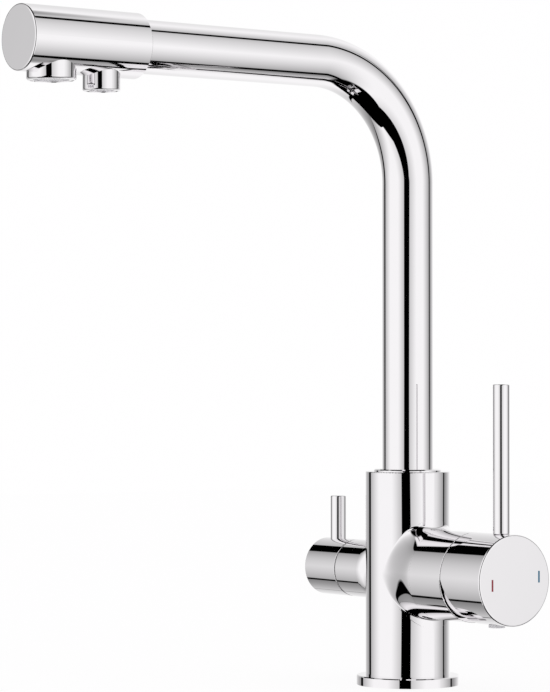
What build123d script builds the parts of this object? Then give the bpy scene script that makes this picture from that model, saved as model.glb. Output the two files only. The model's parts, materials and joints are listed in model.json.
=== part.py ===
"""Three way filtered water tap: deck tap with a swivel spout, a side lever mixer and a filtered water valve.

Millimetres, +Z up.  The origin is the centre of the base, on the worktop.  The spout points along -Y, the
mixer branch along +X and the filtered water branch along -X.  Along the branches "reach" means the
distance from the column's axis, and along the spout it means the distance from that axis towards -Y.
"""
import os
from build123d import *

# ---------------------------------------------------------------- driving dimensions
FACE_GAP = 0.3            # between faces of pieces that move past each other
RUN_GAP = 0.06            # radial, in running fits
SEAT_GAP = 0.03           # radial, in fixed round fits
PLAY = 0.1                # round loose seals, screws and other small inner pieces
GROOVE_PLAY = 0.15        # each side of a ring in its groove
SEAL_GAP = 0.01           # between an o-ring and the bore that it seals
LAP_GAP = 0.02            # between the lapped faces of two ceramic discs
OVER = 1.0                # how far a cut runs past the face that it opens
MIXER_UP = -1             # which way local X points up, on the mixer branch
FILTER_UP = 1             # and on the filtered water branch

# column and base
column_r = 23.25
column_top = 117.0
rim_round = 0.5
seam_round = 0.35         # on the edges where a handle and its branch meet
flange_r = 28.25
flange_h = 5.2
flange_bevel = 0.5
spigot_r = 19.6
gasket_r_in = 21.8
gasket_r_out = 26.2
gasket_h = 1.6

# threaded socket and inlet ports in the underside
socket_r = 15.7           # M33 x 1.5, minor radius
socket_top = 14.0
port_r = 4.46             # M10 x 1, minor radius
port_depth = 10.0
port_circle_r = 8.6
port_turns = (-60, 60, 180)      # hot, cold and filtered water, from +X
inlet_way_r = 3.2
inlet_drop = -5.0         # hot and cold ways below the valve axis
outlet_rise = 8.0         # mixed water way above the valve axis
mixed_way_x = 12.0
mixed_way_r = 4.0
filter_way_r = 2.6
riser_x = -20.0

# mixer branch
valve_z = 61.5
mixer_r = 24.25
mixer_waist = 1.65        # how much slimmer a branch is at its neck
mixer_neck_r = mixer_r - mixer_waist
mixer_neck_end = 8.0
mixer_flare_end = 31.0
mixer_end = 57.5
mixer_root_round = 5.5
cavity_r = 17.6
cavity_floor = 31.0
mouth_wall = 4.25
mouth_r = mixer_r - mouth_wall
mouth_start = 49.0

# filtered water branch
filter_r = 16.0
filter_waist = 1.4
filter_neck_r = filter_r - filter_waist
filter_neck_end = 17.0
filter_flare_end = 26.0
filter_end = 45.9
filter_root_round = 1.2
headwork_bore_r = 9.0
headwork_floor = 14.0

# outlets, which the spout's length follows
main_outlet_reach = 229.8
main_outlet_r = 12.75
main_outlet_z = 318.8
main_outlet_round = 1.3
outlet_pitch = 30.1       # between the two outlets
filter_outlet_reach = main_outlet_reach - outlet_pitch
filter_outlet_r = 9.8
filter_outlet_z = 315.1
filter_outlet_round = 0.8

# spout tube
tube_r = 14.0
tube_wall = 1.2
spout_z = 339.5
bend_r = 64.0
tube_foot_depth = 25.0    # below the column's top
tube_before_outlet = 15.2
tube_foot_z = column_top - tube_foot_depth
tube_tip = filter_outlet_reach - tube_before_outlet

# spout foot in the column
spout_bore_r = 17.6
spout_bore_depth = 29.0
bush_depth = 9.0          # of the bush's top below the column's top
spout_screw_depth = 17.0
spout_floor = column_top - spout_bore_depth
bush_bottom = spout_floor + 2 * FACE_GAP
bush_top = column_top - bush_depth
bush_lip = 0.4            # stop for the tube, inside its bore
slip_flange_r = 18.65
slip_flange_h = 1.25
slip_bevel = 0.6
spout_screw_z = column_top - spout_screw_depth
spout_screw_r = 2.5
spout_screw_tip_r = 1.6
spout_screw_tip = 16.4    # distances from the column's axis
spout_screw_shank = 18.2
spout_screw_head = 22.9
hex_key_r = 1.4
hex_key_depth = 2.0
screw_groove_r = 15.9
screw_groove_w = 3.4
seal_wire_r = 0.85
seal_offset = 5.0         # of the seals above and below the screw
guide_ring_rise = 1.0
guide_ring_h = 3.0
seal_heights = (spout_screw_z - seal_offset, spout_screw_z + seal_offset)
guide_ring_low = bush_bottom + guide_ring_rise
guide_ring_high = guide_ring_low + guide_ring_h
guide_ring_depth = 1.1

# spout head
head_r = 17.06
head_over_tube = 5.2
head_past_outlet = 19.4
head_start = tube_tip - head_over_tube
head_end = main_outlet_reach + head_past_outlet
head_chamber_r = 13.2
head_socket_past_tube = 4.5
head_socket_end = tube_tip + head_socket_past_tube
cap_h = 1.2
head_round = 0.3
cap_round = 0.9
adapter_in_tube = 14.5
adapter_seal_past_tube = 2.3
adapter_start = tube_tip - adapter_in_tube
adapter_bore = 11.0
adapter_seal_at = tube_tip + adapter_seal_past_tube
adapter_seal_wire = 0.6
post_r = 7.5
post_rise = 6.0           # top of the filtered water post above the spout axis
aerator_r = 11.5
aerator_ledge = 325.0
aerator_way_r = 9.2
nozzle_r = 8.3
nozzle_ledge = 322.5
fitting_hex_r = 5.2
fitting_hex_h = 7.5
fitting_spigot_r = 3.5
fitting_spigot_h = 5.0
cap_plug_h = 5.0
cap_plug_start = head_end - cap_h - cap_plug_h
cap_dish_r = 9.0
aerator_wall = 1.7
nozzle_wall = 1.2
sleeve_lip = 0.6
aerator_height = 5.2
nozzle_height = 5.8
aerator_hole_r = 0.65
aerator_pitch = 2.4
nozzle_hole_r = 0.55
nozzle_pitch = 2.0
nozzle_seal_bore = 5.0
outlet_recess = 0.2       # of the sleeves above the outlets' mouths

# mixer cartridge, measured along the branch
handle_face = 90.4        # the outer end of the handle
pivot_reach = mixer_end + FACE_GAP
cartridge_r = 17.5
cartridge_shoulder = 53.0
cartridge_neck_r = 12.2
cartridge_neck_end = 61.0
cartridge_base_h = 5.0
disc_h = 3.0
moving_disc_h = 2.5
carrier_h = 3.0
guide_r = 10.4
stem_r = 4.0
stem_foot = 3.3           # below the pivot
stem_set_back = 11.4
stem_end = handle_face - stem_set_back
tail_r = 2.4
tail_neck_r = 1.7
tail_arm = 13.5
relief_deg = 22.0         # of the handle's rim, for its tilt
end_set_back = 0.5        # of inner ends behind the faces round them
base_start = cavity_floor + FACE_GAP
base_end = base_start + cartridge_base_h
fixed_disc_end = base_end + disc_h
moving_disc_start = fixed_disc_end + LAP_GAP
carrier_start = moving_disc_start + moving_disc_h
carrier_end = carrier_start + carrier_h
guide_flange_start = carrier_end + FACE_GAP
guide_flange_h = 2.4
guide_end = cartridge_neck_end - end_set_back
guide_flange_r = 15.2
shell_wall = 1.6
shell_inside_end = guide_flange_start + guide_flange_h + FACE_GAP
disc_r = 15.7
moving_disc_r = 10.3
carrier_r = 10.4
slot_half = stem_r + FACE_GAP
slot_reach = 7.2
key_top = 1.7             # the carrier's key above its plate
key_half = 5.0
port_hole_r = 3.0
pocket_r = 6.0            # mixing pocket in the moving disc
pocket_shift = 2.0
seal_r_out = 4.3
seal_depth = 0.8
nut_end = mixer_end - end_set_back
nut_notch_w = 3.0
nut_notch_h = 1.2
pivot_pin_r = 1.5
pivot_pin_half = 9.6

# mixer handle
handle_r = mixer_r
handle_wall = 2.0
handle_face_h = 3.0
hub_r = 8.5
hub_start = 66.0
dome_play = 0.55          # inside the handle
dome_r = handle_r - handle_wall - dome_play
dome_wall = 1.4
dome_end = 68.0
dome_spigot_wall = 1.3
dome_spigot_r = mouth_r - dome_spigot_wall
dome_foot_h = 1.2
lever_set_back = 10.8
lever_reach = handle_face - lever_set_back
lever_r = 4.46
lever_top = 164.9
lever_boss_r = 6.5
plug_set_back = 14.5
plug_reach = handle_face - plug_set_back
plug_r = 4.4
plug_proud = 1.3
mark_w = 1.2
mark_h = 6.2
mark_depth = 0.5
hot_mark_inset = 9.05     # of the marks from the handle's rim
cold_mark_inset = 7.45
hot_mark_at = (hot_mark_inset - handle_r, -2.0)      # along Y and Z from the handle's centre
cold_mark_at = (handle_r - cold_mark_inset, 1.6)
face_round = 0.9
edge_round = 0.35
rod_round = 0.6
lever_stud_r = 3.0
lever_stud_end = 9.5
lever_sink = 0.2
lever_seat = handle_r - lever_sink      # distance of the rod's seat from the handle's axis
grub_r = 2.5
grub_start = stem_r + SEAT_GAP
grub_end = hub_r - PLAY
plug_hole_start = 11.5    # clear of the hub, inside the drum
plug_inside = handle_r - handle_wall + PLAY
stud_play = 0.2           # past the ends of the rods' studs

# filter knob
knob_r = 16.0
knob_gap = 0.6
knob_start = filter_end + knob_gap
knob_end = 74.0
knob_solid_h = 17.0
knob_solid = knob_end - knob_solid_h
knob_wall = 2.0
pin_set_back = 10.4
pin_reach = knob_end - pin_set_back
pin_r = 4.4
pin_top = 101.7
spindle_r = 3.0

# filtered water valve, measured along its branch
seat_seal_h = 2.5
seat_seal_bore = 5.1
sleeve_r = 8.2
sleeve_end = 26.0
chamber_r = 7.2
chamber_end = 25.0
headwork_flange_h = 3.0
headwork_hex_r = 12.7
headwork_neck_r = 7.0
headwork_clearance = 1.0
headwork_neck_end = knob_solid - headwork_clearance
window_r = 2.2
window_at = 21.0
headwork_seal_at = 30.0
spindle_set_back = 10.0
spindle_end = knob_end - spindle_set_back
spindle_seal_at = 40.0
filter_disc_r = 7.1
filter_disc_h = 2.4
knob_grub_set_back = 13.0
knob_grub_reach = knob_end - knob_grub_set_back
knob_grub_r = 2.0
knob_key_r = 1.1
knob_grub_end = 9.0
pin_seat = 15.3
pin_stud_r = 2.5
pin_stud_end = 7.5
valve_seal_wire = 0.5
spindle_seal_wire = 0.45
sleeve_start = headwork_floor + seat_seal_h
turning_disc_start = sleeve_start + filter_disc_h + LAP_GAP

# filtered water tube inside the spout
inner_tube_r = 3.0
inner_tube_bore = 2.0
inner_tube_foot = tube_foot_z - 1.0
inner_tube_tip = tube_tip + 5.5
swivel_r = 4.0
swivel_bottom = spout_floor - 7.0
swivel_collar_r = 5.0
swivel_top = inner_tube_foot + 6.0
swivel_seal_z = swivel_bottom + 3.5
swivel_seal_wire = 0.5
riser_z = swivel_bottom - 2.0
riser_r = 1.8


# ---------------------------------------------------------------- helpers
def rod(r, a, b):
    """Cylinder of radius r along local Z from a to b."""
    return Pos(0, 0, (a + b) / 2) * Cylinder(r, b - a)


def ring(r_out, r_in, a, b):
    """Tube section between two radii along local Z from a to b."""
    return rod(r_out, a, b) - rod(r_in, a - OVER, b + OVER)


def slab(x, y, a, b):
    """Block centred on local Z, x by y, from a to b."""
    return Pos(0, 0, (a + b) / 2) * Box(x, y, b - a)


def o_ring(r_mid, r_wire, at):
    """O-ring round local Z."""
    return Pos(0, 0, at) * Torus(r_mid, r_wire)


def on_mixer(shape):
    """Local Z to +X on the valve axis; local X then points down."""
    return Pos(0, 0, valve_z) * Rot(0, 90, 0) * shape


def on_filter(shape):
    """Local Z to -X on the valve axis; local X then points up."""
    return Pos(0, 0, valve_z) * Rot(0, -90, 0) * shape


def on_spout(shape):
    """Local Z to -Y on the spout's upper axis; local Y then points up."""
    return Pos(0, 0, spout_z) * Rot(90, 0, 0) * shape


def rod_x(r, x0, x1, y, z):
    """Cylinder along X."""
    return Pos((x0 + x1) / 2, y, z) * Rot(0, 90, 0) * Cylinder(r, x1 - x0)


def rod_y(r, y0, y1, x, z):
    """Cylinder along Y."""
    return Pos(x, (y0 + y1) / 2, z) * Rot(90, 0, 0) * Cylinder(r, y1 - y0)


def rod_z(r, z0, z1, x, y):
    """Cylinder along Z."""
    return Pos(x, y, 0) * rod(r, z0, z1)


def solid_of(shape):
    """The single solid of a result that may come wrapped in a compound."""
    return shape.solids()[0] if len(shape.solids()) == 1 else shape


def flared_branch(neck_r, neck_end, r, flare_end, end):
    """Branch that swells from its neck to its full radius in two tangent arcs."""
    middle = ((neck_r + r) / 2, (neck_end + flare_end) / 2)
    with BuildPart() as branch:
        with BuildSketch(Plane.XZ):
            with BuildLine():
                Polyline((0, 0), (neck_r, 0), (neck_r, neck_end))
                TangentArc((neck_r, neck_end), middle, tangent=(0, 1))
                TangentArc((r, flare_end), middle, tangent=(0, -1))
                Polyline((r, flare_end), (r, end), (0, end), (0, 0))
            make_face()
        revolve(axis=Axis.Z)
    return branch.part


def dome_zone(r, a, b, at):
    """Slice of a ball round local Z, centred at at, between a and b."""
    return (Pos(0, 0, at) * Sphere(r)) & rod(r + OVER, a, b)


def end_edge(shape, axis, last=True):
    """Outer circular edge of the shape's last or first face along an axis."""
    face = shape.faces().sort_by(axis)[-1 if last else 0]
    return face.edges().sort_by(SortBy.LENGTH)[-1]


def save(shape, node):
    export_step(shape, f"parts/{node}.step")


# ---------------------------------------------------------------- base and body casting
def base_flange():
    plate = ring(flange_r, spigot_r + SEAT_GAP, 0, flange_h)
    plate = chamfer(end_edge(plate, Axis.Z), flange_bevel)
    return plate - ring(gasket_r_out + SEAT_GAP, gasket_r_in - SEAT_GAP, -OVER, gasket_h)


def base_gasket():
    return ring(gasket_r_out, gasket_r_in, 0, gasket_h)


def branch_roots(casting, reach_sign, r):
    """Edges where a branch leaves the column, on one side."""
    return [
        edge for edge in casting.edges()
        if edge.geom_type not in (GeomType.CIRCLE, GeomType.LINE)
        and reach_sign * edge.center().X > OVER
        and abs(edge.center().Z - valve_z) < r + OVER
    ]


def body_outside():
    column = rod(column_r, flange_h, column_top)
    column = fillet(end_edge(column, Axis.Z), rim_round)
    mixer = flared_branch(mixer_neck_r, mixer_neck_end, mixer_r, mixer_flare_end, mixer_end)
    filtered = flared_branch(filter_neck_r, filter_neck_end, filter_r, filter_flare_end, filter_end)
    mixer = fillet(end_edge(mixer, Axis.Z), seam_round)
    filtered = fillet(end_edge(filtered, Axis.Z), seam_round)
    casting = solid_of(column + on_mixer(mixer) + on_filter(filtered))
    casting = fillet(branch_roots(casting, 1, mixer_r), mixer_root_round)
    casting = fillet(branch_roots(casting, -1, filter_r), filter_root_round)
    return casting + rod(spigot_r, 0, flange_h)


def port_places():
    """Centres of the hot, cold and filtered water ports in the underside."""
    return [Location((0, 0, 0), (0, 0, turn)) * Pos(port_circle_r, 0, 0) for turn in port_turns]


def inlet_places():
    """Where the hot and cold ways enter the mixer cavity: Y and Z from the valve axis."""
    return [(place.position.X, place.position.Y, inlet_drop) for place in port_places()[:2]]


def water_ways():
    """Everything drilled into the casting."""
    cuts = [rod(socket_r, -OVER, socket_top)]
    for place in port_places():
        cuts.append(place * rod(port_r, socket_top - OVER, socket_top + port_depth))
    for x, y, drop in inlet_places():
        cuts.append(rod_z(inlet_way_r, socket_top + port_depth - OVER, valve_z + drop, x, y))
        cuts.append(rod_x(inlet_way_r, x, cavity_floor + OVER, y, valve_z + drop))
    cuts.append(rod_x(mixed_way_r, mixed_way_x, cavity_floor + OVER, 0, valve_z + outlet_rise))
    cuts.append(rod_z(mixed_way_r, valve_z + outlet_rise, spout_floor + OVER, mixed_way_x, 0))
    cuts.append(rod_z(filter_way_r, socket_top + port_depth - OVER, valve_z, -port_circle_r, 0))
    cuts.append(rod_x(filter_way_r, -headwork_floor - OVER, -port_circle_r, 0, valve_z))
    cuts.append(rod_z(riser_r, valve_z + headwork_bore_r - OVER, riser_z, riser_x, 0))
    cuts.append(rod_x(riser_r, riser_x, 0, 0, riser_z))
    cuts.append(rod(swivel_r, riser_z, spout_floor + OVER))
    cuts.append(rod(spout_bore_r, spout_floor, column_top + OVER))
    cuts.append(on_mixer(rod(cavity_r, cavity_floor, mixer_end + OVER)))
    cuts.append(on_mixer(rod(mouth_r, mouth_start, mixer_end + OVER)))
    cuts.append(on_filter(rod(headwork_bore_r, headwork_floor, filter_end + OVER)))
    cuts.append(rod_y(spout_screw_r + SEAT_GAP, spout_bore_r - OVER, column_r + OVER, 0, spout_screw_z))
    return cuts


def tap_body():
    casting = body_outside()
    for cut in water_ways():
        casting = casting - cut
    return solid_of(casting)


# ---------------------------------------------------------------- spout foot
def bush_r():
    return spout_bore_r - RUN_GAP


def seal_mid_r():
    return spout_bore_r - SEAL_GAP - seal_wire_r


def spout_bush():
    bush = ring(bush_r(), tube_r - tube_wall - bush_lip, bush_bottom, bush_top)
    bush = bush - rod(tube_r + SEAT_GAP, tube_foot_z, bush_top + OVER)
    groove_r = seal_mid_r() - seal_wire_r - SEAT_GAP
    half = seal_wire_r + GROOVE_PLAY
    for z in seal_heights:
        bush = bush - ring(spout_bore_r + OVER, groove_r, z - half, z + half)
    half = screw_groove_w / 2
    bush = bush - ring(spout_bore_r + OVER, screw_groove_r, spout_screw_z - half, spout_screw_z + half)
    return bush - ring(spout_bore_r + OVER, bush_r() - guide_ring_depth, guide_ring_low, guide_ring_high)


def spout_o_rings():
    return Compound([o_ring(seal_mid_r(), seal_wire_r, z) for z in seal_heights])


def lower_guide_ring():
    r_in = bush_r() - guide_ring_depth + SEAT_GAP
    return ring(bush_r(), r_in, guide_ring_low + GROOVE_PLAY, guide_ring_high - GROOVE_PLAY)


def slip_ring():
    bore = tube_r + RUN_GAP
    skirt = ring(spout_bore_r - SEAT_GAP, bore, bush_top + FACE_GAP, column_top)
    collar = ring(slip_flange_r, bore, column_top, column_top + slip_flange_h)
    return skirt + chamfer(end_edge(collar, Axis.Z), slip_bevel)


def spout_lock_screw():
    tip = rod_y(spout_screw_tip_r, spout_screw_tip, spout_screw_shank, 0, spout_screw_z)
    shank = rod_y(spout_screw_r, spout_screw_shank, spout_screw_head, 0, spout_screw_z)
    mouth = Plane((0, spout_screw_head, spout_screw_z), z_dir=(0, -1, 0))
    return tip + shank - extrude(mouth * RegularPolygon(hex_key_r, 6), hex_key_depth)


# ---------------------------------------------------------------- spout
def spout_path(foot, tip):
    """Centre line of the spout between a height on the column and a reach along the top."""
    with BuildLine(Plane.YZ) as path:
        rise = Line((0, foot), (0, spout_z - bend_r))
        bend = TangentArc(rise @ 1, (-bend_r, spout_z), tangent=rise % 1)
        Line(bend @ 1, (-tip, spout_z))
    return path.line


def bent_tube(r_out, r_in, foot, tip):
    section = Plane((0, 0, foot)) * (Circle(r_out) - Circle(r_in))
    return sweep(section, spout_path(foot, tip))


def spout_tube():
    return bent_tube(tube_r, tube_r - tube_wall, tube_foot_z, tube_tip)


def filtered_water_tube():
    return bent_tube(inner_tube_r, inner_tube_bore, inner_tube_foot, inner_tube_tip)


def swivel_seal_mid():
    return swivel_r - SEAL_GAP - swivel_seal_wire


def filter_swivel():
    """Brass foot of the inner tube, which turns with the spout in the casting."""
    foot = rod(swivel_r - RUN_GAP, swivel_bottom, spout_floor + FACE_GAP)
    collar = rod(swivel_collar_r, spout_floor + FACE_GAP, swivel_top)
    part = foot + collar - rod(inner_tube_bore, swivel_bottom - OVER, swivel_top + OVER)
    part = part - rod(inner_tube_r + SEAT_GAP, inner_tube_foot, swivel_top + OVER)
    half = swivel_seal_wire + GROOVE_PLAY
    groove_r = swivel_seal_mid() - swivel_seal_wire - SEAT_GAP
    return part - ring(swivel_r + OVER, groove_r, swivel_seal_z - half, swivel_seal_z + half)


def filter_swivel_o_ring():
    return o_ring(swivel_seal_mid(), swivel_seal_wire, swivel_seal_z)


# ---------------------------------------------------------------- spout head and outlets
def outlet_boss(reach, r, bottom, round_r):
    boss = rod_z(r, bottom, spout_z, 0, -reach)
    return fillet(end_edge(boss, Axis.Z, last=False), round_r)


def head_hollows():
    """The head's hollows along the spout and up from its outlets."""
    chamber = rod(head_chamber_r, head_socket_end - OVER, head_end)
    post = rod_z(post_r, filter_outlet_z, spout_z + post_rise, 0, -filter_outlet_reach)
    fitting_seat = filter_outlet_reach - post_r - OVER
    return [
        on_spout(rod(tube_r + SEAT_GAP, head_start - OVER, head_socket_end)),
        on_spout(chamber) - post,
        on_spout(rod(fitting_spigot_r + SEAT_GAP, fitting_seat, filter_outlet_reach)),
        rod_z(inner_tube_bore, nozzle_ledge - OVER, spout_z, 0, -filter_outlet_reach),
        rod_z(nozzle_r + SEAT_GAP, filter_outlet_z - OVER, nozzle_ledge, 0, -filter_outlet_reach),
        rod_z(aerator_r + SEAT_GAP, main_outlet_z - OVER, aerator_ledge, 0, -main_outlet_reach),
        rod_z(aerator_way_r, aerator_ledge - OVER, spout_z - head_chamber_r / 2, 0, -main_outlet_reach),
    ]


def spout_head():
    head = rod(head_r, head_start, head_end - cap_h)
    head = on_spout(fillet(end_edge(head, Axis.Z, last=False), head_round))
    head = head + outlet_boss(main_outlet_reach, main_outlet_r, main_outlet_z, main_outlet_round)
    head = head + outlet_boss(filter_outlet_reach, filter_outlet_r, filter_outlet_z, filter_outlet_round)
    for hollow in head_hollows():
        head = head - hollow
    return solid_of(head)


def head_end_cap():
    disc = fillet(end_edge(rod(head_r, head_end - cap_h, head_end), Axis.Z), cap_round)
    plug = rod(head_chamber_r - SEAT_GAP, cap_plug_start, head_end - cap_h)
    return on_spout(disc + plug - rod(cap_dish_r, cap_plug_start - OVER, head_end - 2 * cap_h))


def head_adapter():
    collar_start = tube_tip + FACE_GAP
    sleeve = ring(tube_r - tube_wall - SEAT_GAP, adapter_bore, adapter_start, collar_start)
    collar = ring(tube_r, adapter_bore, collar_start, head_socket_end)
    half = adapter_seal_wire + GROOVE_PLAY
    groove_r = tube_r - 2 * adapter_seal_wire - SEAT_GAP
    groove = ring(tube_r + OVER, groove_r, adapter_seal_at - half, adapter_seal_at + half)
    return on_spout(sleeve + collar - groove)


def head_o_ring():
    return on_spout(o_ring(tube_r - adapter_seal_wire, adapter_seal_wire, adapter_seal_at))


def filter_tube_fitting():
    spigot_start = filter_outlet_reach - post_r - FACE_GAP
    hex_start = spigot_start - fitting_hex_h
    hexagon = extrude(Plane((0, 0, hex_start)) * RegularPolygon(fitting_hex_r, 6), fitting_hex_h)
    part = hexagon + rod(fitting_spigot_r, spigot_start, spigot_start + fitting_spigot_h)
    part = part - rod(inner_tube_bore, hex_start - OVER, spigot_start + fitting_spigot_h + OVER)
    part = part - rod(inner_tube_r + SEAT_GAP, hex_start - OVER, inner_tube_tip)
    return on_spout(part)


def outlet_sleeve(r, wall, bottom, height, reach):
    """Threaded sleeve with a small lip at the bottom that carries the insert."""
    sleeve = rod_z(r, bottom, bottom + height, 0, -reach)
    sleeve = sleeve - rod_z(r - wall, bottom + sleeve_lip, bottom + height + OVER, 0, -reach)
    return sleeve - rod_z(r - wall - sleeve_lip, bottom - OVER, bottom + sleeve_lip + OVER, 0, -reach)


def spray_disc(r, hole_r, pitch, bottom, top, reach):
    """Disc with round holes on a triangular grid."""
    disc = rod(r, bottom, top)
    rows = 2 * int(r / pitch) + 1
    holes = [
        Pos(place.position.X, place.position.Y, 0) * rod(hole_r, bottom - OVER, top + OVER)
        for place in HexLocations(pitch / 2, rows, rows)
        if place.position.length < r - 2 * hole_r
    ]
    return Pos(0, -reach, 0) * (disc - holes)


def aerator_sleeve():
    bottom = main_outlet_z + outlet_recess
    return outlet_sleeve(aerator_r, aerator_wall, bottom, aerator_height, main_outlet_reach)


def aerator_insert():
    bottom = main_outlet_z + outlet_recess + sleeve_lip
    top = bottom + aerator_height - 2 * sleeve_lip
    r = aerator_r - aerator_wall - SEAT_GAP
    return spray_disc(r, aerator_hole_r, aerator_pitch, bottom, top, main_outlet_reach)


def aerator_seal():
    bottom = main_outlet_z + outlet_recess + aerator_height
    return Pos(0, -main_outlet_reach, 0) * ring(aerator_r - PLAY, aerator_way_r, bottom, aerator_ledge)


def nozzle_sleeve():
    bottom = filter_outlet_z + outlet_recess
    return outlet_sleeve(nozzle_r, nozzle_wall, bottom, nozzle_height, filter_outlet_reach)


def nozzle_insert():
    bottom = filter_outlet_z + outlet_recess + sleeve_lip
    top = bottom + nozzle_height - 2 * sleeve_lip
    r = nozzle_r - nozzle_wall - SEAT_GAP
    return spray_disc(r, nozzle_hole_r, nozzle_pitch, bottom, top, filter_outlet_reach)


def nozzle_seal():
    bottom = filter_outlet_z + outlet_recess + nozzle_height
    return Pos(0, -filter_outlet_reach, 0) * ring(nozzle_r - PLAY, nozzle_seal_bore, bottom, nozzle_ledge)


# ---------------------------------------------------------------- mixer cartridge, local Z along the branch
def valve_ports():
    """Port centres in a cartridge's plane, as local X (down) and Y."""
    inlets = [(-drop, y) for _, y, drop in inlet_places()]
    return inlets + [(-outlet_rise, 0)]


def with_ports(plate, r, start, end):
    for down, y in valve_ports():
        plate = plate - Pos(down, y, 0) * rod(r, start - OVER, end + OVER)
    return plate


def cartridge_base():
    plate = with_ports(rod(cartridge_r, base_start, base_end), port_hole_r, base_start, base_end)
    seal_seat = base_start + seal_depth
    return on_mixer(with_ports(plate, seal_r_out + SEAT_GAP, base_start - 2 * OVER, seal_seat - OVER))


def port_seals():
    rings = [
        Pos(down, y, 0) * ring(seal_r_out, port_hole_r, cavity_floor, base_start + seal_depth)
        for down, y in valve_ports()
    ]
    return on_mixer(Compound(rings))


def fixed_disc():
    disc = rod(disc_r, base_end, fixed_disc_end)
    return on_mixer(with_ports(disc, port_hole_r, base_end, fixed_disc_end))


def moving_disc():
    disc = rod(moving_disc_r, moving_disc_start, carrier_start)
    pocket = rod(pocket_r, moving_disc_start - OVER, moving_disc_start + moving_disc_h / 2)
    return on_mixer(disc - Pos(-pocket_shift, 0, 0) * pocket)


def disc_carrier():
    """Plate that the stem's ball pushes across, with a key that slides in the guide's groove."""
    plate = rod(carrier_r, carrier_start, carrier_end)
    key = slab(2 * key_half, 2 * (slot_half - PLAY), carrier_end, carrier_end + key_top)
    return on_mixer(plate + key - rod(tail_r + FACE_GAP, carrier_start - OVER, carrier_end + key_top + OVER))


def pin_rod(r, half):
    """Cylinder across the branch through the handle's pivot."""
    return Pos(0, 0, pivot_reach) * Rot(90, 0, 0) * Cylinder(r, 2 * half)


def turning_guide():
    """Turns in the cartridge's neck, holds the stem's pin and guides the carrier's key."""
    groove_end = guide_flange_start + guide_flange_h
    flange = rod(guide_flange_r, guide_flange_start, groove_end)
    barrel = rod(guide_r, guide_flange_start, guide_end)
    groove = slab(3 * guide_flange_r, 2 * slot_half, guide_flange_start - OVER, groove_end)
    slot = slab(2 * slot_reach, 2 * slot_half, groove_end - OVER, guide_end + OVER)
    return on_mixer(flange + barrel - groove - slot - pin_rod(pivot_pin_r + SEAT_GAP, guide_r + OVER))


def pivot_pin():
    return on_mixer(pin_rod(pivot_pin_r, pivot_pin_half))


def cartridge_body():
    shell = ring(cartridge_r, cartridge_r - shell_wall, base_end, cartridge_shoulder)
    crown = ring(cartridge_r, guide_r + RUN_GAP, shell_inside_end, cartridge_shoulder)
    neck = ring(cartridge_neck_r, guide_r + RUN_GAP, cartridge_shoulder, cartridge_neck_end)
    return on_mixer(shell + crown + neck)


def cartridge_nut():
    nut = ring(mouth_r - SEAT_GAP, cartridge_neck_r + PLAY, cartridge_shoulder, nut_end)
    notch = slab(2 * nut_notch_w, nut_notch_w, nut_end - nut_notch_h, mixer_end)
    notch = Pos(cartridge_neck_r, 0, 0) * notch
    for turn in range(0, 360, 60):
        nut = nut - Rot(0, 0, turn) * notch
    return on_mixer(nut)


def cartridge_stem():
    """Shaft that the handle sits on, with a ball at its tail that moves the carrier."""
    shaft = rod(stem_r, pivot_reach - stem_foot, stem_end)
    neck = rod(tail_neck_r, pivot_reach - tail_arm, pivot_reach)
    ball = Pos(0, 0, pivot_reach - tail_arm) * Sphere(tail_r)
    return on_mixer(solid_of(shaft + neck + ball - pin_rod(pivot_pin_r + RUN_GAP, stem_r + OVER)))


def dome_ring():
    """Polished cover ring, part of a ball round the handle's pivot, standing on the branch's end."""
    shell = dome_zone(dome_r, mixer_end, dome_end, pivot_reach)
    shell = shell - dome_zone(dome_r - dome_wall, mixer_end - OVER, dome_end + OVER, pivot_reach)
    spigot = ring(mouth_r - PLAY, dome_spigot_r, nut_end + SEAT_GAP, mixer_end)
    foot = ring(dome_r - dome_wall / 2, dome_spigot_r, mixer_end, mixer_end + dome_foot_h)
    return on_mixer(solid_of(shell + spigot + foot))


# ---------------------------------------------------------------- mixer handle, local Z along the branch
def cross_rod(r, a, b, reach, side):
    """Cylinder square to a branch, between two distances from its axis on local +X or -X."""
    return Pos(side * (a + b) / 2, 0, reach) * Rot(0, 90, 0) * Cylinder(r, b - a)


def rim_relief():
    """Wedge cut off the lower half of the handle's rear rim, so that the handle can tilt."""
    far = 2 * handle_r
    slope = Vector(0, far).rotate(Axis.Z, -relief_deg)
    wedge = Polyline((0, 0), (slope.X, slope.Y), (-far, slope.Y), (-far, 0), close=True)
    profile = Plane(origin=(0, -far, pivot_reach), x_dir=(0, 0, 1), z_dir=(0, 1, 0)) * make_face(wedge)
    return extrude(profile, 2 * far)


def drum_outside():
    """The handle's drum with its relief and its rounded edges."""
    drum = fillet(end_edge(rod(handle_r, pivot_reach, handle_face), Axis.Z), face_round) - rim_relief()
    rear = [
        edge for edge in drum.edges()
        if edge.geom_type != GeomType.LINE and edge.center().Z < handle_face - OVER
    ]
    return fillet(rear, seam_round)


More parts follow.
